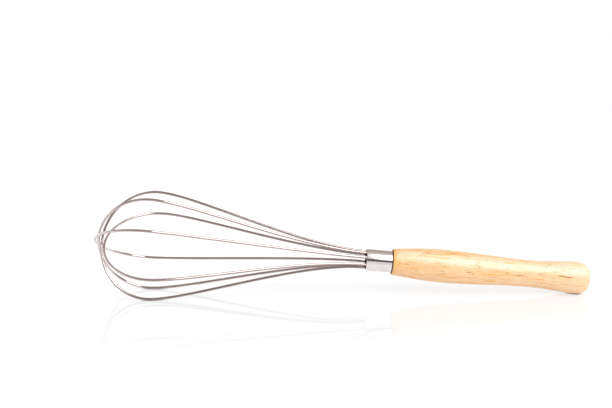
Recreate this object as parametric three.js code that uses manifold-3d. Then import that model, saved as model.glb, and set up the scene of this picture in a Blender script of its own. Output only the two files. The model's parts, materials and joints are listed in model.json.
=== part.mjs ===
// Egg whisk: four nested wire loops, held in a steel ferrule on a turned wooden handle.
// Sizes are in millimetres. The whisk lies on a table, which is the plane Z = 0. The wire head points
// along -X and the butt of the handle along +X. -Y is the near side and +Z is up.

import * as THREE from "three";
import { mergeVertices } from "three/addons/utils/BufferGeometryUtils.js";
import Module from "manifold-3d";

// Wire head
const WIRE_DIAMETER = 1.6;
const HEAD_LENGTH = 162.6; // from the ferrule's mouth to the middle of the outer loop's wire at the tip
const HEAD_RADIUS = 32.4; // from the axis to the middle of the wire at the widest place
const CROWN_LENGTH = 30.3; // the rounded end, from the widest place to the tip
const NECK_PULL = 41.2; // how far the wires keep the ferrule's direction as they spread
const SHOULDER_PULL = 22.2; // how far they run level before the widest place
const HEAD_SAG = 1.3; // degrees by which the wires hang below the handle's line
const SAG_LENGTH = 40; // from the ferrule's mouth to where they have bent that far
const LOOP_GAP = 0.3; // clear space between one loop and the next where they cross at the tip
const LOOPS = [
  // The plane of each loop, in degrees from the near side over the top
  { name: "wire_loop_outer", angle: 28 },
  { name: "wire_loop_second", angle: 68.5 },
  { name: "wire_loop_third", angle: 111.5 },
  { name: "wire_loop_inner", angle: 156 },
];

// Ferrule, and what it holds
const FERRULE_DIAMETER = 13.2;
const FERRULE_WALL = 0.6;
const FERRULE_LENGTH = 15.4;
const FERRULE_EDGE = 0.2; // bevel on its four edges
const SEAL_RECESS = 0.8; // from the ferrule's mouth back to the seal
const SEAL_THICKNESS = 1.6;
const PLUG_LENGTH = 5.5;
const GLUE_LINE = 0.3; // clearance round every seated piece

// Handle
const HANDLE_LENGTH = 119.6; // from the shoulder behind the ferrule to the end
const NOSE_DIAMETER = 15.9;
const NOSE_EDGE = 0.5; // bevel on the shoulder's rim
const SWELL_DIAMETER = 20;
const SWELL_STATION = 30.5; // from the shoulder to the thickest place
const WAIST_DIAMETER = 16.3;
const WAIST_SETBACK = 34.9; // from the end to the thinnest place
const BUTT_DIAMETER = 19.5;
const BUTT_ROUNDING = 6.9; // length of the rounded end
const BUTT_FLAT_DIAMETER = 9;

// Fineness of the surfaces
const WIRE_SIDES = 8;
const HOOK_STEPS = 4;
const SPREAD_STEPS = 22;
const CROWN_STEPS = 14;
const TURNED_SIDES = 48;
const NOSE_STEPS = 5;
const WAVE_STEPS = 9;
const BUTT_STEPS = 6;
const LAYING_STEPS = 12;

// Fits that follow from the sizes above
const boreRadius = FERRULE_DIAMETER / 2 - FERRULE_WALL;
const seatRadius = boreRadius - GLUE_LINE;
const tailRadius = seatRadius - WIRE_DIAMETER / 2;
const plugFront = SEAL_RECESS + SEAL_THICKNESS + GLUE_LINE;
const plugBack = plugFront + PLUG_LENGTH;
const hookDepth = plugBack + GLUE_LINE + WIRE_DIAMETER / 2;
const tenonFace = hookDepth + WIRE_DIAMETER / 2 + GLUE_LINE;
const shoulder = FERRULE_LENGTH + GLUE_LINE;
const hookRadius = tailRadius - closestHooks();
const waistStation = HANDLE_LENGTH - WAIST_SETBACK;
const buttStation = HANDLE_LENGTH - BUTT_ROUNDING;

const WOOD = { color: 0xf0c897, roughness: 0.42, metalness: 0 };
const POLISHED_STEEL = { color: 0xc4c0bb, roughness: 0.16, metalness: 1 };
const DRAWN_STEEL = { color: 0xa9a29b, roughness: 0.28, metalness: 1 };
const NYLON = { color: 0xd9d4c7, roughness: 0.55, metalness: 0 };
const RESIN = { color: 0x5b5148, roughness: 0.35, metalness: 0 };

const wasm = await Module();
wasm.setup();

// The radius at which the hooked ends of neighbouring wires would come a wire and a gap apart.
function closestHooks() {
  const angles = LOOPS.map((loop) => loop.angle);
  const steps = angles.map((angle, i) => (i > 0 ? angle - angles[i - 1] : angle + 180 - angles.at(-1)));
  const narrowest = THREE.MathUtils.degToRad(Math.min(...steps));
  return (WIRE_DIAMETER + GLUE_LINE) / (2 * Math.sin(narrowest / 2));
}

// A path through given points, with one step from each point to the next and mitred corners.
class StationPath extends THREE.Curve {
  constructor(stations) {
    super();
    this.stations = stations;
  }

  getPoint(t, target = new THREE.Vector3()) {
    const place = t * (this.stations.length - 1);
    const before = Math.min(Math.floor(place), this.stations.length - 2);
    return target.lerpVectors(this.stations[before], this.stations[before + 1], place - before);
  }

  getTangent(t, target = new THREE.Vector3()) {
    const last = this.stations.length - 1;
    const here = Math.round(t * last);
    const inward = new THREE.Vector3();
    const outward = new THREE.Vector3();
    if (here > 0) inward.subVectors(this.stations[here], this.stations[here - 1]).normalize();
    if (here < last) outward.subVectors(this.stations[here + 1], this.stations[here]).normalize();
    return target.addVectors(inward, outward).normalize();
  }

  getUtoTmapping(u) {
    return u;
  }
}

function roundSection(diameter) {
  const corners = [];
  for (let i = 0; i < WIRE_SIDES; i += 1) {
    const turn = ((i + 0.5) / WIRE_SIDES) * 2 * Math.PI;
    corners.push(new THREE.Vector2(Math.cos(turn), Math.sin(turn)).multiplyScalar(diameter / 2));
  }
  return new THREE.Shape(corners);
}

function sweepWire(stations, diameter) {
  const path = new StationPath(stations);
  return new THREE.ExtrudeGeometry(roundSection(diameter), {
    steps: stations.length - 1,
    extrudePath: path,
  });
}

// The hooked tail of one wire, from its end behind the plug to the ferrule's mouth. The points are
// (distance in front of the mouth, distance from the axis).
function tailProfile() {
  const bendStart = hookDepth - hookRadius;
  const bend = new THREE.EllipseCurve(
    -bendStart,
    tailRadius - hookRadius,
    hookRadius,
    hookRadius,
    Math.PI,
    Math.PI / 2,
    true,
  );
  return [...bend.getPoints(HOOK_STEPS), new THREE.Vector2(0, tailRadius)];
}

// Half of one loop, from its hooked end to the tip.
function halfLoopProfile(tip) {
  const widest = tip - CROWN_LENGTH;
  const spread = new THREE.CubicBezierCurve(
    new THREE.Vector2(0, tailRadius),
    new THREE.Vector2(NECK_PULL, tailRadius),
    new THREE.Vector2(widest - SHOULDER_PULL, HEAD_RADIUS),
    new THREE.Vector2(widest, HEAD_RADIUS),
  );
  const crown = new THREE.EllipseCurve(widest, 0, CROWN_LENGTH, HEAD_RADIUS, Math.PI / 2, 0, true);
  return [
    ...tailProfile(),
    ...spread.getPoints(SPREAD_STEPS).slice(1),
    ...crown.getPoints(CROWN_STEPS).slice(1),
  ];
}

// How far the wires hang below the handle's line at a distance in front of the ferrule's mouth.
function sagAt(distance) {
  const bent = THREE.MathUtils.clamp(distance, 0, SAG_LENGTH);
  const straight = Math.max(distance - SAG_LENGTH, 0);
  return Math.tan(THREE.MathUtils.degToRad(HEAD_SAG)) * (bent ** 2 / (2 * SAG_LENGTH) + straight);
}

// Stands a flat profile in the plane at the given angle round the whisk's axis, and lets it sag.
function inLoopPlane(profile, degrees) {
  const turn = THREE.MathUtils.degToRad(degrees);
  return profile.map(
    (p) => new THREE.Vector3(-p.x, -p.y * Math.cos(turn), p.y * Math.sin(turn) - sagAt(p.x)),
  );
}

function wireLoop(index) {
  const tip = HEAD_LENGTH - index * (WIRE_DIAMETER + LOOP_GAP);
  const half = halfLoopProfile(tip);
  const otherHalf = half.slice(0, -1).map((p) => new THREE.Vector2(p.x, -p.y));
  const profile = [...half, ...otherHalf.reverse()];
  return sweepWire(inLoopPlane(profile, LOOPS[index].angle), WIRE_DIAMETER);
}

// A body turned about the whisk's axis. Each point is [place along the axis, radius].
function turned(profile) {
  const points = profile.map(([along, radius]) => new THREE.Vector2(radius, along));
  const body = new THREE.LatheGeometry(points, TURNED_SIDES);
  body.rotateZ(-Math.PI / 2);
  return body;
}

function disc(front, back, radius) {
  return turned([
    [front, 0],
    [front, radius],
    [back, radius],
    [back, 0],
  ]);
}

function ferruleTube() {
  const outer = FERRULE_DIAMETER / 2;
  return turned([
    [FERRULE_EDGE, boreRadius],
    [0, boreRadius + FERRULE_EDGE],
    [0, outer - FERRULE_EDGE],
    [FERRULE_EDGE, outer],
    [FERRULE_LENGTH - FERRULE_EDGE, outer],
    [FERRULE_LENGTH, outer - FERRULE_EDGE],
    [FERRULE_LENGTH, boreRadius + FERRULE_EDGE],
    [FERRULE_LENGTH - FERRULE_EDGE, boreRadius],
    [FERRULE_EDGE, boreRadius],
  ]);
}

// Points from one diameter to the next, level at both ends.
function wave(fromStation, fromDiameter, toStation, toDiameter) {
  const points = [];
  for (let i = 1; i <= WAVE_STEPS; i += 1) {
    const share = i / WAVE_STEPS;
    const rise = (1 - Math.cos(Math.PI * share)) / 2;
    const diameter = THREE.MathUtils.lerp(fromDiameter, toDiameter, rise);
    points.push([shoulder + THREE.MathUtils.lerp(fromStation, toStation, share), diameter / 2]);
  }
  return points;
}

function handleBody() {
  const profile = [
    [tenonFace, 0],
    [tenonFace, seatRadius],
    [shoulder, seatRadius],
    [shoulder, NOSE_DIAMETER / 2 - NOSE_EDGE],
    [shoulder + NOSE_EDGE, NOSE_DIAMETER / 2],
  ];
  for (let i = 1; i <= NOSE_STEPS; i += 1) {
    const share = i / NOSE_STEPS;
    const rise = Math.sin((Math.PI / 2) * share);
    const station = THREE.MathUtils.lerp(NOSE_EDGE, SWELL_STATION, share);
    profile.push([shoulder + station, THREE.MathUtils.lerp(NOSE_DIAMETER, SWELL_DIAMETER, rise) / 2]);
  }
  profile.push(...wave(SWELL_STATION, SWELL_DIAMETER, waistStation, WAIST_DIAMETER));
  profile.push(...wave(waistStation, WAIST_DIAMETER, buttStation, BUTT_DIAMETER));
  const endRise = (BUTT_DIAMETER - BUTT_FLAT_DIAMETER) / 2;
  for (let i = 1; i <= BUTT_STEPS; i += 1) {
    const turn = ((Math.PI / 2) * i) / BUTT_STEPS;
    profile.push([
      shoulder + buttStation + BUTT_ROUNDING * Math.sin(turn),
      BUTT_FLAT_DIAMETER / 2 + endRise * Math.cos(turn),
    ]);
  }
  profile.push([shoulder + HANDLE_LENGTH, 0]);
  return turned(profile);
}

function toManifold(geometry) {
  const bare = geometry.clone();
  bare.deleteAttribute("normal");
  bare.deleteAttribute("uv");
  const merged = mergeVertices(bare);
  return new wasm.Manifold(
    new wasm.Mesh({
      numProp: 3,
      vertProperties: new Float32Array(merged.attributes.position.array),
      triVerts: new Uint32Array(merged.index.array),
    }),
  );
}

function toGeometry(manifold) {
  const mesh = manifold.getMesh();
  const geometry = new THREE.BufferGeometry();
  geometry.setAttribute("position", new THREE.BufferAttribute(mesh.vertProperties, 3));
  geometry.setIndex(new THREE.BufferAttribute(mesh.triVerts, 1));
  geometry.computeVertexNormals();
  return geometry;
}

// Cuts a channel for every wire tail through a disc that sits in the ferrule.
function channelled(body) {
  let cut = toManifold(body);
  for (const loop of LOOPS) {
    for (const side of [0, 180]) {
      const tail = inLoopPlane(tailProfile(), loop.angle + side);
      cut = cut.subtract(toManifold(sweepWire(tail, WIRE_DIAMETER + 2 * GLUE_LINE)));
    }
  }
  return toGeometry(cut);
}

function piece(name, geometry, finish) {
  const mesh = new THREE.Mesh(geometry, new THREE.MeshStandardMaterial(finish));
  mesh.name = name;
  return mesh;
}

function lowest(object) {
  return new THREE.Box3().setFromObject(object, true).min.z;
}

// Rolls the whisk until its two bottom wires are equally low, and tips it until the handle is as low as
// they are. Then sets it on the table with the middle of its outline over the origin.
function layOnTable(whisk, nearLoop, farLoop, handle) {
  const span = HEAD_LENGTH - CROWN_LENGTH + shoulder + buttStation;
  whisk.rotation.order = "YXZ";
  for (let i = 0; i < LAYING_STEPS; i += 1) {
    whisk.rotation.x += Math.asin((lowest(nearLoop) - lowest(farLoop)) / HEAD_RADIUS);
    whisk.rotation.y += Math.asin((lowest(handle) - lowest(nearLoop)) / span);
    whisk.updateMatrixWorld(true);
  }
  const outline = new THREE.Box3().setFromObject(whisk, true);
  const middle = outline.getCenter(new THREE.Vector3());
  whisk.position.set(-middle.x, -middle.y, -outline.min.z);
}

const head = new THREE.Group();
head.name = "head";
const loops = LOOPS.map((loop, i) => piece(loop.name, wireLoop(i), DRAWN_STEEL));
const [, farLoop, nearLoop] = loops; // the second and third loops pass underneath
head.add(...loops);
head.add(piece("ferrule", ferruleTube(), POLISHED_STEEL));
head.add(piece("core_plug", channelled(disc(plugFront, plugBack, seatRadius)), NYLON));
head.add(piece("mouth_seal", channelled(disc(SEAL_RECESS, plugFront - GLUE_LINE, seatRadius)), RESIN));

const handle = piece("handle", handleBody(), WOOD);

const whisk = new THREE.Group();
whisk.name = "whisk";
whisk.add(head, handle);
layOnTable(whisk, nearLoop, farLoop, handle);

const part = new THREE.Group();
part.name = "egg_whisk";
part.add(whisk);

export default part;
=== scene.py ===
"""The look of the egg whisk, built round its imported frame. Lengths are in metres."""

import json
import math

import bpy
import numpy as np
from mathutils import Matrix, Vector


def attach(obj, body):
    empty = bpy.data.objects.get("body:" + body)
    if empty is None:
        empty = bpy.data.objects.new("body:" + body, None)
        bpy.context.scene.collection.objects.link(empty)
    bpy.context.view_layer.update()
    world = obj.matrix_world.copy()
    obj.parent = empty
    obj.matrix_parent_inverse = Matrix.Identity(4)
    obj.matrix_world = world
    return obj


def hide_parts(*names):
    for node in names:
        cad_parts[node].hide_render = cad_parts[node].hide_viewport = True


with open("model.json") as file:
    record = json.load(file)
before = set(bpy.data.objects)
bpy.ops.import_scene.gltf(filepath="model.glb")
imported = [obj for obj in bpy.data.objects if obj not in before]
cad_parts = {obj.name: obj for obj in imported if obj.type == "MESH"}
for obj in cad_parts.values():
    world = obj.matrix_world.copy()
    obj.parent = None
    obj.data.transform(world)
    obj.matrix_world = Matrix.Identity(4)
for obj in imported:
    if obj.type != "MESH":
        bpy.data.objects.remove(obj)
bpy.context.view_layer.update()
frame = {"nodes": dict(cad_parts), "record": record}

MM = 0.001

# Sizes of the part, as in its source
WIRE_RADIUS = 0.8 * MM
HEAD_LENGTH = 162.6 * MM
HEAD_RADIUS = 32.4 * MM
CROWN_LENGTH = 30.3 * MM
NECK_PULL = 41.2 * MM
SHOULDER_PULL = 22.2 * MM
SAG_SLOPE = math.tan(math.radians(1.3))
SAG_LENGTH = 40 * MM
LOOP_PITCH = 1.9 * MM
TAIL_RADIUS = 4.9 * MM
HOOK_DEPTH = 9.3 * MM
HOOK_RADIUS = 2.15 * MM
LOOP_NODES = ("wire_loop_outer", "wire_loop_second", "wire_loop_third", "wire_loop_inner")
BORE_RADIUS = 6.0 * MM
FERRULE_RADIUS = 6.6 * MM
FERRULE_LENGTH = 15.4 * MM
FERRULE_EDGE = 0.2 * MM
SEAL_RECESS = 0.8 * MM
SEAL_THICKNESS = 1.6 * MM
TENON_FACE = 10.4 * MM
TENON_RADIUS = 5.7 * MM
SHOULDER = 15.7 * MM
HANDLE_LENGTH = 119.6 * MM
NOSE_RADIUS = 7.95 * MM
SWELL_RADIUS = 10 * MM
SWELL_STATION = 30.5 * MM
WAIST_RADIUS = 8.15 * MM
WAIST_STATION = 84.7 * MM
BUTT_RADIUS = 9.75 * MM
BUTT_STATION = 112.7 * MM
BUTT_FLAT_RADIUS = 4.5 * MM

# Sizes that only the look has: a rounder nose, and resin that fills the bore and creeps up at its rim
NOSE_EDGE = 0.9 * MM
SEAL_RADIUS = 5.98 * MM
SEAL_CREEP = 0.35 * MM
SEAL_POWER = 6  # how sharply the resin creeps up

# How finely the pieces are cut up
WIRE_SIDES = 24
HOOK_POINTS = 9
TAIL_POINTS = 7
SPREAD_POINTS = 120
CROWN_POINTS = 56
TURNED_SIDES = 160
EDGE_STEPS = 5
NOSE_STEPS = 6
SWELL_STEPS = 40
TAPER_STEPS = 60
FLARE_STEPS = 40
BUTT_STEPS = 24
SEAL_SIDES = 96
SEAL_STEPS = 12

# The camera, as fitted to the photograph
IMAGE_WIDTH = 612
FOCAL_PIXELS = 1000
CAMERA_AZIMUTH = math.radians(0.755)
CAMERA_ELEVATION = math.radians(11.79)
CAMERA_DISTANCE = 602 * MM
CAMERA_ASIDE = -22.25 * MM
CAMERA_ABOVE = 30.06 * MM
CAMERA_AIM = Vector((0, 0, 25 * MM))
SENSOR_WIDTH = 36

# The whisk's own axes: x from the ferrule's mouth toward the butt, y to the far side, z to the top
butt = next(m for m in frame["record"]["mounts"] if m["name"] == "butt_flat")
toward_butt = Vector(butt["axis"]).normalized()
far_side = Vector((0, 1, 0))
mouth = Vector(butt["pos_m"]) - (SHOULDER + HANDLE_LENGTH) * toward_butt
axes = Matrix((toward_butt, far_side, toward_butt.cross(far_side))).transposed()
whisk = Matrix.Translation(mouth) @ axes.to_4x4()


def loop_direction(node):
    """The unit vector across the whisk in which a CAD wire loop spreads, in the whisk's axes."""
    back = np.array(whisk.inverted())
    corners = np.array([v.co for v in frame["nodes"][node].data.vertices])
    across = (corners @ back[:3, :3].T + back[:3, 3])[:, 1:]
    spread = np.linalg.svd(across - across.mean(0), full_matrices=False)[2][0]
    return np.array((0.0, *spread))


# Building meshes


def add_piece(name, verts, faces, places, node, material):
    """A smooth mesh that stands for a CAD node. Its material's patterns follow the places, as mm."""
    mesh = bpy.data.meshes.new(name)
    mesh.from_pydata([whisk @ Vector(v) for v in verts], [], faces)
    mesh.shade_smooth()
    mesh.materials.append(material)
    attribute = mesh.attributes.new("place", "FLOAT_VECTOR", "POINT")
    attribute.data.foreach_set("vector", [c / MM for place in places for c in place])
    obj = bpy.data.objects.new(name, mesh)
    bpy.context.scene.collection.objects.link(obj)
    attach(obj, "root")
    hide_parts(node)


def turn_profile(profile, sides, closed=False):
    """Vertices and faces of a profile of (x, radius) turned about x. A point on the axis ends it."""
    verts, rings = [], []
    for x, r in profile:
        if r == 0:
            rings.append([len(verts)] * sides)
            verts.append((x, 0, 0))
            continue
        rings.append(list(range(len(verts), len(verts) + sides)))
        for i in range(sides):
            a = 2 * math.pi * i / sides
            verts.append((x, r * math.cos(a), r * math.sin(a)))
    faces = []
    for lower, upper in zip(rings, rings[1:] + rings[:1] if closed else rings[1:]):
        for i in range(sides):
            j = (i + 1) % sides
            corners = (lower[i], lower[j], upper[j], upper[i])
            faces.append(tuple(dict.fromkeys(corners)))
    return verts, faces


def sweep_circle(path, radius, sides, across):
    """Vertices, faces and places of a round wire.

    A place is two ways across the wire and one along it, from its middle.
    """
    tangent = np.gradient(path, axis=0)
    tangent /= np.linalg.norm(tangent, axis=1)[:, None]
    along = np.concatenate(([0], np.cumsum(np.linalg.norm(np.diff(path, axis=0), axis=1))))
    along -= along[-1] / 2
    flat_normal = np.cross((1.0, 0.0, 0.0), across)
    verts, places, faces = [], [], []
    for point, t, s in zip(path, tangent, along):
        side = np.cross(t, flat_normal)
        side /= np.linalg.norm(side)
        lift = np.cross(side, t)
        for i in range(sides):
            a = 2 * math.pi * i / sides
            u, v = radius * math.cos(a), radius * math.sin(a)
            verts.append(point + u * side + v * lift)
            places.append((u, v, s))
    for k in range(len(path) - 1):
        for i in range(sides):
            j = (i + 1) % sides
            lower, upper = k * sides, (k + 1) * sides
            faces.append((lower + j, lower + i, upper + i, upper + j))
    last = (len(path) - 1) * sides
    faces.append(tuple(range(sides)))
    faces.append(tuple(reversed(range(last, last + sides))))
    return verts, faces, places


def bezier(p0, p1, p2, p3, count):
    """Points of a cubic curve."""
    t = np.linspace(0, 1, count)[:, None]
    p0, p1, p2, p3 = (np.array(p) for p in (p0, p1, p2, p3))
    return (1 - t) ** 3 * p0 + 3 * t * (1 - t) ** 2 * p1 + 3 * t**2 * (1 - t) * p2 + t**3 * p3


def loop_path(tip, across):
    """The middle of one wire loop, from one hooked tail in the ferrule round the tip to the other."""
    widest = tip - CROWN_LENGTH
    turn = np.linspace(0, math.pi / 2, HOOK_POINTS)
    hook_front = HOOK_DEPTH - HOOK_RADIUS
    hook = np.column_stack(
        (-hook_front - HOOK_RADIUS * np.cos(turn), TAIL_RADIUS - HOOK_RADIUS * (1 - np.sin(turn)))
    )
    tail_x = np.linspace(-hook_front, 0, TAIL_POINTS)[1:-1]
    tail = np.column_stack((tail_x, np.full(len(tail_x), TAIL_RADIUS)))
    spread = bezier(
        (0, TAIL_RADIUS),
        (NECK_PULL, TAIL_RADIUS),
        (widest - SHOULDER_PULL, HEAD_RADIUS),
        (widest, HEAD_RADIUS),
        SPREAD_POINTS,
    )
    turn = np.linspace(0, math.pi / 2, CROWN_POINTS)[1:]
    crown = np.column_stack((widest + CROWN_LENGTH * np.sin(turn), HEAD_RADIUS * np.cos(turn)))
    half = np.vstack((hook, tail, spread, crown))
    profile = np.vstack((half, half[-2::-1] * (1, -1)))
    ahead = np.clip(profile[:, 0], 0, None)
    bent = np.clip(ahead, 0, SAG_LENGTH)
    sag = SAG_SLOPE * (bent**2 / (2 * SAG_LENGTH) + ahead - bent)
    return (
        profile[:, :1] * np.array((-1.0, 0, 0))
        + profile[:, 1:] * across
        - sag[:, None] * np.array((0, 0, 1.0))
    )


def arc(centre, radius, start, end, steps):
    """Points of an arc in a profile. Angles are in degrees from +x toward a larger radius."""
    turns = [math.radians(start + (end - start) * i / steps) for i in range(steps + 1)]
    return [(centre[0] + radius * math.cos(a), centre[1] + radius * math.sin(a)) for a in turns]


# Materials


def rgb(r, g, b):
    return (r, g, b, 1.0)


class Nodes:
    """Short calls for building the node tree of one material, or of the world."""

    def __init__(self, name, owner=None):
        self.owner = owner or bpy.data.materials.new(name)
        self.owner.use_nodes = True
        self.tree = self.owner.node_tree
        self.tree.nodes.clear()
        self.output = self.add("OutputWorld" if owner else "OutputMaterial")

    def add(self, kind, inputs=None, **settings):
        node = self.tree.nodes.new("ShaderNode" + kind)
        for key, value in settings.items():
            setattr(node, key, value)
        for key, value in (inputs or {}).items():
            self.put(node.inputs[key], value)
        return node

    def put(self, socket, value):
        if isinstance(value, bpy.types.NodeSocket):
            self.tree.links.new(value, socket)
        else:
            socket.default_value = value

    def place(self):
        """Where a point is on its piece, in mm, as add_piece stored it."""
        return self.add("Attribute", attribute_name="place").outputs["Vector"]

    def math(self, operation, a, b=0.0, clamp=False):
        return self.add("Math", {0: a, 1: b}, operation=operation, use_clamp=clamp).outputs[0]

    def noise(self, vector, stretch, detail=2.0, roughness=0.5):
        """Noise whose features are stretched: how many there are in each unit of the vector."""
        scaled = self.add("Mapping", {"Vector": vector, "Scale": stretch}).outputs["Vector"]
        inputs = {"Vector": scaled, "Scale": 1.0, "Detail": detail, "Roughness": roughness}
        return self.add("TexNoise", inputs).outputs["Fac"]

    def ramp(self, value, low, high, to_low=0.0, to_high=1.0):
        """A smooth step from one value to another as the input goes from low to high."""
        inputs = {0: value, 1: low, 2: high, 3: to_low, 4: to_high}
        return self.add("MapRange", inputs, interpolation_type="SMOOTHSTEP").outputs[0]

    def mix(self, factor, a, b):
        """Colour a where the factor is 0 and b where it is 1."""
        return self.add("Mix", {0: factor, 6: a, 7: b}, data_type="RGBA").outputs[2]

    def distance(self, vector, middle, size):
        """How far a point is from the middle of an oval, as a share of its size."""
        inputs = {"Vector": vector, "Location": middle, "Scale": size}
        inside = self.add("Mapping", inputs, vector_type="TEXTURE").outputs["Vector"]
        return self.add("VectorMath", {0: inside}, operation="LENGTH").outputs["Value"]

    def bump(self, height, strength, distance):
        inputs = {"Height": height, "Strength": strength, "Distance": distance}
        return self.add("Bump", inputs).outputs["Normal"]

    def finish(self, shader):
        self.tree.links.new(shader, self.output.inputs["Surface"])
        return self.owner


# Colours of the wood, among them a painted highlight, painted shade and painted light on the underside
WOOD = {
    "sapwood": rgb(0.97, 0.71, 0.43),
    "ring": rgb(0.95, 0.58, 0.25),
    "band": rgb(0.94, 0.53, 0.19),
    "cloud": rgb(0.98, 0.79, 0.55),
    "highlit_end": rgb(0.98, 0.82, 0.6),
    "warm_end": rgb(0.95, 0.57, 0.23),
    "shaded_side": rgb(0.95, 0.57, 0.25),
    "top_highlight": rgb(0.98, 0.85, 0.66),
    "lit_underside": rgb(1.0, 0.71, 0.43),
    "line": rgb(0.92, 0.47, 0.11),
    "fibre": rgb(0.86, 0.45, 0.13),
    "pore": rgb(0.58, 0.24, 0.05),
    "dash": rgb(0.82, 0.38, 0.1),
    "fleck": rgb(0.66, 0.26, 0.04),
    "mark": rgb(0.48, 0.15, 0.0),
    "nose": rgb(0.9, 0.5, 0.13),
    "joint_shade": rgb(0.18, 0.08, 0.035),
}
# Features of the grain in each millimetre, along the handle and across it
GRAIN = {
    "sway": (0.012, 0.05),
    "wobble": (0.05, 0.3),
    "fibres": (0.1, 3.4),
    "lines": (0.055, 0.95),
    "bands": (0.03, 0.45),
    "cloud": (0.05, 0.14),
    "pores": (0.4, 4.0),
    "flecks": (0.18, 1.3),
    "dashes": (0.45, 1.7),
    "wander": (0.25, 0.6),
}
# The middle of the growth rings, in mm to the far side and below the axis, and how they wave
PITH_FAR = 24.0
PITH_BELOW = 15.0
RING_SWAY = 9.0
RING_RATE = 2.4
RING_WOBBLE = 4.0
FIBRE_DEPTH = 0.12 * MM
LACQUER_IOR = 1.6

# Dark marks in the grain. Each is at x in mm and at an angle up from the near side's
# middle, in degrees, and has a half length in mm, a half width in degrees and a strength.
STREAKS = (
    (117, 15.5, 3, 3, 1.0),
    (121, 13, 4, 3, 0.95),
    (92, 2, 5.5, 3, 0.85),
    (94.5, 3, 2.5, 3.5, 0.75),
    (84, 6, 2, 3, 0.6),
    (109.5, 58, 2, 4, 0.5),
    (77, 39, 1, 4.5, 0.5),
    (84, 26, 1.5, 5, 0.4),
    (104.5, 15.5, 2.5, 6, 0.35),
    (112.5, -9, 1.5, 6, 0.3),
    (76.5, -14, 6.5, 2.5, 0.5),
    (61, 0, 2, 3.5, 0.75),
    (63.5, -5, 1.5, 3, 0.7),
    (67, 21.5, 1, 4, 0.6),
    (45.5, 14, 3, 3, 0.45),
    (45, -4, 2, 3.5, 0.4),
    (44, -15, 6, 2.5, 0.5),
    (24, 9.5, 2.5, 3.5, 0.4),
    (28, -51, 3.5, 4, 0.45),
    (30, 78, 5, 3.5, 0.4),
    (36, 60, 3, 4, 0.5),
    (51.5, 67.5, 3.5, 3.5, 0.5),
    (68.5, 71, 2, 3.5, 0.4),
    (65, 31, 1.5, 3.5, 0.35),
    (54.5, -52, 6, 3.5, 0.4),
    (112.5, -53, 7, 4, 0.45),
)
STREAK_WANDER = 0.155
STREAK_CORE = 0.4  # the share of a mark that has its full strength
# The photograph doesn't show the far side. The stronger marks come again there, half a turn round and
# moved along by so many mm.
FAR_SHIFT = -17
FAR_LEAST = 0.5


def grain(n, place, name, detail=2.0, roughness=0.5):
    along, across = GRAIN[name]
    return n.noise(place, (along, across, across), detail, roughness)


def grain_marks(n, place):
    """How strongly each point of the wood is stained by the streaks."""
    x, y, z = n.add("SeparateXYZ", {0: place}).outputs
    wander = n.math("SUBTRACT", grain(n, place, "wander", 3.0), 0.5)
    wander = n.math("MULTIPLY", wander, STREAK_WANDER)

    def wandered(outward):
        angle = n.math("ADD", n.math("ARCTAN2", z, outward), wander)
        return n.add("CombineXYZ", {0: x, 1: angle}).outputs[0]

    near = wandered(n.math("MULTIPLY", y, -1.0))
    far = wandered(y)
    marks = 0.0
    for mid_x, mid_angle, half_length, half_width, strength in STREAKS:
        angle = math.radians(mid_angle)
        size = Vector((half_length, math.radians(half_width), 1))
        spots = [(near, Vector((mid_x, angle, 0)))]
        if strength >= FAR_LEAST:
            spots.append((far, Vector((mid_x + FAR_SHIFT, -angle, 0))))
        for point, middle in spots:
            stain = n.ramp(n.distance(point, middle, size), 1.0, STREAK_CORE, 0.0, strength)
            marks = n.math("MAXIMUM", marks, stain)
    return marks


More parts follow.
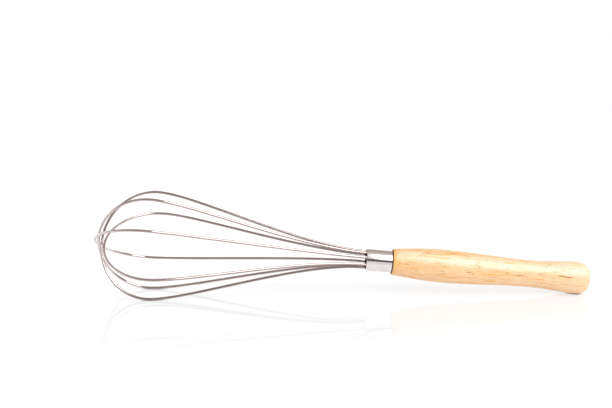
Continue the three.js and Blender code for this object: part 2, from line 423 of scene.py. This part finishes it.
def wood_material():
    n = Nodes("turned_wood")
    place = n.place()
    x, y, z = n.add("SeparateXYZ", {0: place}).outputs
    nose = SHOULDER / MM

    sway = n.math("MULTIPLY", grain(n, place, "sway"), RING_SWAY)
    ring_y = n.math("ADD", n.math("ADD", y, -PITH_FAR), sway)
    ring_z = n.math("ADD", z, PITH_BELOW)
    squares = n.math("ADD", n.math("MULTIPLY", ring_y, ring_y), n.math("MULTIPLY", ring_z, ring_z))
    wobble = n.math("MULTIPLY", grain(n, place, "wobble", 3.0), RING_WOBBLE)
    phase = n.math("ADD", n.math("MULTIPLY", n.math("SQRT", squares), RING_RATE), wobble)
    rings = n.ramp(n.math("SINE", phase), -1.0, 1.0)

    fibres = grain(n, place, "fibres", 6.0, 0.65)
    lines = grain(n, place, "lines", 4.0, 0.65)
    bands = grain(n, place, "bands", 4.0, 0.6)
    cloud = grain(n, place, "cloud", 3.0, 0.55)
    pores = n.ramp(grain(n, place, "pores"), 0.64, 0.74)
    flecks = n.ramp(grain(n, place, "flecks", 3.0, 0.6), 0.62, 0.72)
    dashes = n.ramp(grain(n, place, "dashes", 3.0, 0.6), 0.56, 0.68)

    # Where the handle is paler or warmer: x is along it and z is up
    # Painted highlight: the wood turns paler toward the butt, most on its upper side, and its drawn
    # lines fade there.
    highlit_end = n.math("MULTIPLY", n.ramp(x, 50.0, 130.0), n.ramp(z, -5.0, 6.0, 0.6, 0.86))
    # Painted highlight: a pale band along the upper side. Painted shade: a deeper, warmer colour below
    # it, weaker under the butt.
    uneven_z = n.math("ADD", z, n.math("MULTIPLY", n.math("SUBTRACT", bands, 0.5), 8.0))
    top_highlight = n.math("MULTIPLY", n.ramp(uneven_z, 2.8, 5.2), n.ramp(uneven_z, 9.0, 7.4, 0.0, 0.5))
    faded = n.math("MULTIPLY", n.ramp(x, 75.0, 120.0), n.ramp(z, 1.0, -3.0, 0.0, 0.9))
    shaded_side = n.math("MULTIPLY", n.ramp(uneven_z, 5.0, 2.0, 0.0, 0.45), n.math("SUBTRACT", 1.0, faded))
    drawn = n.math("MULTIPLY", n.ramp(lines, 0.5, 0.63, 0.0, 0.95), n.ramp(highlit_end, 0.4, 0.8, 1.0, 0.5))
    # Painted shade, with some glue: the wood darkens in the gap where it meets the ferrule.
    joint_shade = n.ramp(x, nose + 0.3, nose + 0.1)
    marks = grain_marks(n, place)

    colour = WOOD["sapwood"]
    for share, name in (
        (n.ramp(rings, 0.3, 1.0, 0.0, 0.45), "ring"),
        (n.ramp(bands, 0.42, 0.66, 0.0, 0.6), "band"),
        (n.ramp(cloud, 0.42, 0.62, 0.0, 0.55), "cloud"),
        (highlit_end, "highlit_end"),
        (n.ramp(x, 80.0, 20.0, 0.0, 0.4), "warm_end"),
        (shaded_side, "shaded_side"),
        (top_highlight, "top_highlight"),
        # Painted light: the underside is made lighter, as if lit from the floor below.
        (n.ramp(z, 2.0, -8.0, 0.0, 0.8), "lit_underside"),
        (drawn, "line"),
        (n.ramp(fibres, 0.45, 0.75, 0.0, 0.5), "fibre"),
        (n.math("MULTIPLY", pores, 0.6), "pore"),
        (n.math("MULTIPLY", dashes, 0.55), "dash"),
        (n.math("MULTIPLY", flecks, 0.75), "fleck"),
        (marks, "mark"),
        (n.ramp(x, nose + 5.0, nose + 0.6, 0.0, 0.8), "nose"),
        (joint_shade, "joint_shade"),
    ):
        colour = n.mix(share, colour, WOOD[name])

    height = n.math("SUBTRACT", n.math("MULTIPLY", fibres, 0.5), n.math("MULTIPLY", pores, 0.8))
    satin = n.math("ADD", n.ramp(fibres, 0.3, 0.8, 0.26, 0.38), n.ramp(bands, 0.35, 0.65, 0.1, 0.2))
    inputs = {
        "Base Color": colour,
        "Roughness": n.math("MAXIMUM", satin, n.math("MAXIMUM", joint_shade, marks)),
        "Normal": n.bump(height, 0.3, FIBRE_DEPTH),
        "IOR": LACQUER_IOR,
        "Specular IOR Level": 1.0,
    }
    return n.finish(n.add("BsdfPrincipled", inputs).outputs["BSDF"])


# Colours of the steel, and where it is worn and carries a painted highlight: mm along a wire from its
# tip
FERRULE_CLEAN = rgb(0.8, 0.75, 0.74)
FERRULE_SMUDGED = rgb(0.74, 0.695, 0.68)
FERRULE_BORE_SHADE = rgb(0.05, 0.04, 0.034)
WIRE_CLEAN = (0.56, 0.47, 0.455)
WIRE_TARNISHED = (0.445, 0.372, 0.357)
WIRE_LINE = (0.375, 0.303, 0.288)
WIRE_WEAR_AND_HIGHLIGHT = rgb(0.8, 0.735, 0.71)
WEAR_HIGHLIGHT_ALL = 20.0
WEAR_HIGHLIGHT_END = 52.0
SCRATCH_DEPTH = 0.03 * MM
# Painted shade: how much of its colour each wire keeps, from the outer loop to the inner, so that some
# wires show darker than others
LOOP_SHADES = (1.0, 0.97, 0.82, 0.92)


def ferrule_material():
    n = Nodes("polished_steel")
    place = n.place()
    y, z = n.add("SeparateXYZ", {0: place}).outputs[1:]
    radius = n.math("SQRT", n.math("ADD", n.math("MULTIPLY", y, y), n.math("MULTIPLY", z, z)))
    lines = n.noise(place, (14, 0.35, 0.35), 4.0, 0.6)
    smudge = n.noise(place, (0.22, 0.22, 0.22), 4.0, 0.6)
    bore = BORE_RADIUS / MM
    # Painted shade: the bore's inner wall is dark and rougher.
    inside = n.ramp(radius, bore + 0.25, bore + 0.05)
    colour = n.mix(n.ramp(smudge, 0.35, 0.7), FERRULE_CLEAN, FERRULE_SMUDGED)
    colour = n.mix(inside, colour, FERRULE_BORE_SHADE)
    gloss = n.math("ADD", n.ramp(smudge, 0.3, 0.75, 0.15, 0.2), n.math("MULTIPLY", lines, 0.05))
    inputs = {
        "Base Color": colour,
        "Roughness": n.math("ADD", gloss, n.math("MULTIPLY", inside, 0.4)),
        "Normal": n.bump(lines, 0.12, SCRATCH_DEPTH),
        "Metallic": 1.0,
    }
    return n.finish(n.add("BsdfPrincipled", inputs).outputs["BSDF"])


def wire_material(name, shade_factor):
    """Drawn steel. The shade factor, from 0 to 1, darkens its colours as painted shade."""

    def shaded(colour):
        return rgb(*(shade_factor * part for part in colour))

    n = Nodes(name)
    place = n.place()
    lines = n.noise(place, (7, 7, 0.12), 4.0, 0.6)
    tarnish = n.noise(place, (0.5, 0.5, 0.07), 4.0, 0.6)
    colour = n.mix(n.ramp(tarnish, 0.35, 0.7), shaded(WIRE_CLEAN), shaded(WIRE_TARNISHED))
    colour = n.mix(n.ramp(lines, 0.5, 0.75, 0.0, 0.35), colour, shaded(WIRE_LINE))
    # Wear and painted highlight: the wire turns pale in patches toward its tip.
    from_tip = n.math("ABSOLUTE", n.add("SeparateXYZ", {0: place}).outputs[2])
    patchy = n.ramp(tarnish, 0.65, 0.35, 0.3, 0.9)
    worn_highlight = n.math("MULTIPLY", n.ramp(from_tip, WEAR_HIGHLIGHT_END, WEAR_HIGHLIGHT_ALL), patchy)
    colour = n.mix(worn_highlight, colour, WIRE_WEAR_AND_HIGHLIGHT)
    gloss = n.math("ADD", n.ramp(tarnish, 0.3, 0.75, 0.04, 0.1), n.math("MULTIPLY", lines, 0.05))
    inputs = {
        "Base Color": colour,
        "Roughness": gloss,
        "Normal": n.bump(lines, 0.2, SCRATCH_DEPTH),
        "Metallic": 1.0,
    }
    return n.finish(n.add("BsdfPrincipled", inputs).outputs["BSDF"])


# Colours of the resin and the nylon, and how deep their bubbles and moulded grain are
RESIN_DARK = rgb(0.03, 0.022, 0.017)
RESIN_PALE = rgb(0.075, 0.056, 0.042)
NYLON_DARK = rgb(0.66, 0.63, 0.55)
NYLON_PALE = rgb(0.74, 0.71, 0.63)
BUBBLE_DEPTH = 0.08 * MM
MOULD_DEPTH = 0.05 * MM


def resin_material():
    n = Nodes("cast_resin")
    place = n.place()
    cloud = n.noise(place, (0.6, 0.6, 0.6), 4.0, 0.6)
    bubbles = n.ramp(n.noise(place, (3.5, 3.5, 3.5)), 0.6, 0.7)
    inputs = {
        "Base Color": n.mix(cloud, RESIN_DARK, RESIN_PALE),
        "Roughness": n.ramp(cloud, 0.3, 0.7, 0.25, 0.45),
        "Normal": n.bump(bubbles, 0.3, BUBBLE_DEPTH),
    }
    return n.finish(n.add("BsdfPrincipled", inputs).outputs["BSDF"])


def nylon_material():
    n = Nodes("moulded_nylon")
    # The plug is the CAD node itself, which stores no places, so its noise is in features a metre
    place = n.add("TexCoord").outputs["Object"]
    cloud = n.noise(place, (400, 400, 400), 3.0)
    skin = n.noise(place, (9000, 9000, 9000))
    inputs = {
        "Base Color": n.mix(cloud, NYLON_DARK, NYLON_PALE),
        "Roughness": n.ramp(skin, 0.3, 0.7, 0.45, 0.6),
        "Normal": n.bump(skin, 0.2, MOULD_DEPTH),
    }
    return n.finish(n.add("BsdfPrincipled", inputs).outputs["BSDF"])


# The pieces


def make_wires():
    for k, (node, shade_factor) in enumerate(zip(LOOP_NODES, LOOP_SHADES)):
        steel = wire_material(node.replace("wire_loop", "drawn_steel"), shade_factor)
        across = loop_direction(node)
        path = loop_path(HEAD_LENGTH - k * LOOP_PITCH, across)
        verts, faces, places = sweep_circle(path, WIRE_RADIUS, WIRE_SIDES, across)
        add_piece("fine_" + node, verts, faces, places, node, steel)


def make_ferrule():
    e = FERRULE_EDGE
    profile = [
        *arc((e, BORE_RADIUS + e), e, 270, 180, EDGE_STEPS),
        *arc((e, FERRULE_RADIUS - e), e, 180, 90, EDGE_STEPS),
        *arc((FERRULE_LENGTH - e, FERRULE_RADIUS - e), e, 90, 0, EDGE_STEPS),
        *arc((FERRULE_LENGTH - e, BORE_RADIUS + e), e, 0, -90, EDGE_STEPS),
    ]
    verts, faces = turn_profile(profile, TURNED_SIDES, closed=True)
    add_piece("fine_ferrule", verts, faces, verts, "ferrule", ferrule_material())


def rise_between(start, end, steps, shape):
    """Profile points from one (station, radius) to the next. A station is measured from the shoulder."""
    points = []
    for i in range(1, steps + 1):
        share = i / steps
        station = start[0] + (end[0] - start[0]) * share
        points.append((SHOULDER + station, start[1] + (end[1] - start[1]) * shape(share)))
    return points


def make_handle():
    def quarter(share):
        return math.sin(math.pi / 2 * share)

    def wave(share):
        return (1 - math.cos(math.pi * share)) / 2

    nose = (NOSE_EDGE, NOSE_RADIUS)
    swell = (SWELL_STATION, SWELL_RADIUS)
    waist = (WAIST_STATION, WAIST_RADIUS)
    flare = (BUTT_STATION, BUTT_RADIUS)
    end = []
    for i in range(1, BUTT_STEPS + 1):
        a = math.pi / 2 * i / BUTT_STEPS
        station = BUTT_STATION + (HANDLE_LENGTH - BUTT_STATION) * math.sin(a)
        radius = BUTT_FLAT_RADIUS + (BUTT_RADIUS - BUTT_FLAT_RADIUS) * math.cos(a)
        end.append((SHOULDER + station, radius))
    profile = [
        (TENON_FACE, 0),
        (TENON_FACE, TENON_RADIUS),
        (SHOULDER, TENON_RADIUS),
        *arc((SHOULDER + NOSE_EDGE, NOSE_RADIUS - NOSE_EDGE), NOSE_EDGE, 180, 90, NOSE_STEPS),
        *rise_between(nose, swell, SWELL_STEPS, quarter),
        *rise_between(swell, waist, TAPER_STEPS, wave),
        *rise_between(waist, flare, FLARE_STEPS, wave),
        *end,
        (SHOULDER + HANDLE_LENGTH, 0),
    ]
    verts, faces = turn_profile(profile, TURNED_SIDES)
    add_piece("fine_handle", verts, faces, verts, "handle", wood_material())


def make_seal():
    back = SEAL_RECESS + SEAL_THICKNESS
    profile = [(SEAL_RECESS, 0)]
    for i in range(1, SEAL_STEPS + 1):
        share = i / SEAL_STEPS
        profile.append((SEAL_RECESS - SEAL_CREEP * share**SEAL_POWER, SEAL_RADIUS * share))
    profile += [(back, SEAL_RADIUS), (back, 0)]
    verts, faces = turn_profile(profile, SEAL_SIDES)
    add_piece("fine_seal", verts, faces, verts, "mouth_seal", resin_material())


make_wires()
make_ferrule()
make_handle()
make_seal()
plug_materials = frame["nodes"]["core_plug"].data.materials
plug_materials.clear()
plug_materials.append(nylon_material())


# The studio: a white floor that sweeps up into a low white wall, one big soft light and a grey room
FLOOR_RADIUS = 3.0
FLOOR_RINGS = (0.25, 0.5, 1.0)
WALL_HEIGHT = 1.17
BACK_RISE = 0.3
COVE_RADIUS = 0.5
COVE_STEPS = 12
STUDIO_SIDES = 96
# What the floor gives back to the object, and what it shows: a matt white with a gloss at a slant
BOUNCE = rgb(0.85, 0.85, 0.85)
MATT = rgb(0.27, 0.27, 0.27)
WHITE = rgb(1, 1, 1)
GLOSS_POWER = 8.0
GLOSS_GAIN = 2.8
GLOSS_ROUGHNESS = 0.02
# The light that lifts the floor to white, round the whisk and further off, and how close above the floor
# the whisk dims it as painted contact shadow
LIFT_COLOUR = rgb(0.985, 1.0, 1.01)
NEAR_LIFT = 0.775
FAR_LIFT = 0.9
CONTACT_SHADOW_REACH = 0.7 * MM
# The oval round the whisk that keeps its reflection and shadow, and how far out that fades
NEAR_MIDDLE = Vector((0, -0.035, 0))
NEAR_SIZE = Vector((0.2, 0.07, 1))
NEAR_FADE = (0.8, 1.6)
# The distance over which the floor turns into plain white
WHITE_FROM = 0.5
WHITE_TO = 1.2
# The dark card: how far off it stands, its low and its high edge as seen from the middle, and how far
# round to each side it is whole and where it ends
CARD_RADIUS = 1.2
CARD_LOW = math.radians(1)
CARD_HIGH = math.radians(25)
CARD_WHOLE = math.radians(40)
CARD_REACH = math.radians(80)
CARD_STEPS = 24
CARD_DARK = rgb(0.015, 0.013, 0.012)
CARD_PALE = rgb(0.03, 0.027, 0.026)
# The soft light, and the room's tint at the front and the back and its strength low down and high up
SOFTBOX_PLACE = Vector((1.325, -1.625, 2.12))
SOFTBOX_WIDTH = 1.81
SOFTBOX_HEIGHT = 2.33
SOFTBOX_RADIANCE = 4.95
ROOM_FRONT = rgb(1.0, 0.93, 0.9)
ROOM_BACK = rgb(0.8, 0.69, 0.65)
ROOM_LOW = 0.26
ROOM_HIGH = 0.74


def add_stage(name, verts, faces, material):
    mesh = bpy.data.meshes.new(name)
    mesh.from_pydata(verts, [], faces)
    mesh.shade_smooth()
    mesh.materials.append(material)
    obj = bpy.data.objects.new(name, mesh)
    bpy.context.scene.collection.objects.link(obj)
    return obj


def studio_material():
    n = Nodes("white_studio")
    rays = n.add("LightPath").outputs
    seen = n.math("ADD", rays["Is Camera Ray"], rays["Is Glossy Ray"])
    seen = n.math("ADD", seen, rays["Is Transmission Ray"], clamp=True)
    place = n.add("NewGeometry").outputs["Position"]
    reach = n.add("VectorMath", {0: place}, operation="LENGTH").outputs["Value"]
    bounce = n.add("BsdfDiffuse", {"Color": BOUNCE}).outputs[0]
    matt = n.add("BsdfDiffuse", {"Color": MATT}).outputs[0]
    shine = n.add("BsdfGlossy", {"Color": WHITE, "Roughness": GLOSS_ROUGHNESS}).outputs[0]
    away = n.distance(place, NEAR_MIDDLE, NEAR_SIZE)
    slant = n.math("POWER", n.add("LayerWeight", {"Blend": 0.5}).outputs["Facing"], GLOSS_POWER)
    gloss = n.math("MULTIPLY", slant, n.ramp(away, *NEAR_FADE, GLOSS_GAIN, 0.0), clamp=True)
    # Painted contact shadow: the lift dims where the whisk is close above the floor.
    open_share = n.add("AmbientOcclusion", {"Distance": CONTACT_SHADOW_REACH}).outputs["AO"]
    strength = n.math("MULTIPLY", open_share, n.ramp(away, *NEAR_FADE, NEAR_LIFT, FAR_LIFT))
    lift = n.add("Emission", {"Color": LIFT_COLOUR, "Strength": strength}).outputs[0]
    floor = n.add("AddShader", {0: matt, 1: lift}).outputs[0]
    near = n.add("MixShader", {0: gloss, 1: floor, 2: shine}).outputs[0]
    white = n.add("Emission", {"Color": WHITE, "Strength": 1.0}).outputs[0]
    shown = n.add("MixShader", {0: n.ramp(reach, WHITE_FROM, WHITE_TO), 1: near, 2: white}).outputs[0]
    return n.finish(n.add("MixShader", {0: seen, 1: bounce, 2: shown}).outputs[0])


def make_studio():
    profile = [(0, 0), *((0, ring) for ring in FLOOR_RINGS), (0, FLOOR_RADIUS - COVE_RADIUS)]
    for i in range(1, COVE_STEPS + 1):
        a = math.pi / 2 * i / COVE_STEPS
        height = COVE_RADIUS * (1 - math.cos(a))
        profile.append((height, FLOOR_RADIUS - COVE_RADIUS + COVE_RADIUS * math.sin(a)))
    profile.append((WALL_HEIGHT, FLOOR_RADIUS))
    verts, faces = turn_profile(profile, STUDIO_SIDES)
    upright = []
    for height, x, y in verts:
        behind = max(0, y / FLOOR_RADIUS)
        upright.append((x, y, height + BACK_RISE * behind if height == WALL_HEIGHT else height))
    add_stage("studio", upright, [tuple(reversed(f)) for f in faces], studio_material())


def make_card():
    """A dark card on the camera's side, seen only in reflections. It fades out toward its two ends."""
    n = Nodes("dark_card")
    place = n.add("TexCoord").outputs["Object"]
    cloth = n.noise(place, (40, 40, 40), 4.0)
    dark = n.add("BsdfDiffuse", {"Color": n.mix(cloth, CARD_DARK, CARD_PALE)}).outputs[0]
    clear = n.add("BsdfTransparent").outputs[0]
    x, y = n.add("SeparateXYZ", {0: place}).outputs[:2]
    turned = n.math("ABSOLUTE", n.math("ARCTAN2", x, n.math("MULTIPLY", y, -1.0)))
    faded = n.ramp(turned, CARD_WHOLE, CARD_REACH)
    material = n.finish(n.add("MixShader", {0: faded, 1: dark, 2: clear}).outputs[0])
    verts, faces = [], []
    for i in range(CARD_STEPS + 1):
        a = CARD_REACH * (2 * i / CARD_STEPS - 1)
        for elevation in (CARD_LOW, CARD_HIGH):
            height = CARD_RADIUS * math.tan(elevation)
            verts.append((CARD_RADIUS * math.sin(a), -CARD_RADIUS * math.cos(a), height))
    for i in range(CARD_STEPS):
        faces.append((2 * i, 2 * i + 2, 2 * i + 3, 2 * i + 1))
    card = add_stage("dark_card", verts, faces, material)
    card.visible_camera = False
    card.visible_diffuse = False
    card.visible_shadow = False


def make_lights():
    n = Nodes("grey_room", bpy.data.worlds.new("grey_room"))
    direction = n.add("SeparateXYZ", {0: n.add("TexCoord").outputs["Generated"]}).outputs
    tint = n.mix(n.ramp(direction["Y"], -0.2, 0.3), ROOM_FRONT, ROOM_BACK)
    inputs = {"Color": tint, "Strength": n.ramp(direction["Z"], 0.1, 1.0, ROOM_LOW, ROOM_HIGH)}
    bpy.context.scene.world = n.finish(n.add("Background", inputs).outputs[0])

    lamp = bpy.data.lights.new("softbox", "AREA")
    lamp.shape = "RECTANGLE"
    lamp.size, lamp.size_y = SOFTBOX_WIDTH, SOFTBOX_HEIGHT
    lamp.energy = SOFTBOX_RADIANCE * math.pi * SOFTBOX_WIDTH * SOFTBOX_HEIGHT
    softbox = bpy.data.objects.new("softbox", lamp)
    softbox.location = SOFTBOX_PLACE
    softbox.rotation_euler = (math.atan2(-SOFTBOX_PLACE.y, SOFTBOX_PLACE.z), 0, 0)
    bpy.context.scene.collection.objects.link(softbox)


def make_camera():
    a, e = CAMERA_AZIMUTH, CAMERA_ELEVATION
    forward = Vector((math.sin(a) * math.cos(e), math.cos(a) * math.cos(e), -math.sin(e)))
    right = Vector((math.cos(a), -math.sin(a), 0))
    up = right.cross(forward)
    camera = bpy.data.cameras.new("camera")
    camera.sensor_width = SENSOR_WIDTH
    camera.lens = FOCAL_PIXELS * SENSOR_WIDTH / IMAGE_WIDTH
    camera.clip_start = 0.01
    camera.clip_end = 100
    obj = bpy.data.objects.new("camera", camera)
    obj.location = CAMERA_AIM - CAMERA_DISTANCE * forward + CAMERA_ASIDE * right + CAMERA_ABOVE * up
    obj.rotation_euler = (math.pi / 2 - e, 0, -a)
    bpy.context.scene.collection.objects.link(obj)
    bpy.context.scene.camera = obj


make_studio()
make_card()
make_lights()
make_camera()
bpy.context.scene.view_settings.view_transform = "Standard"

bpy.context.view_layer.update()
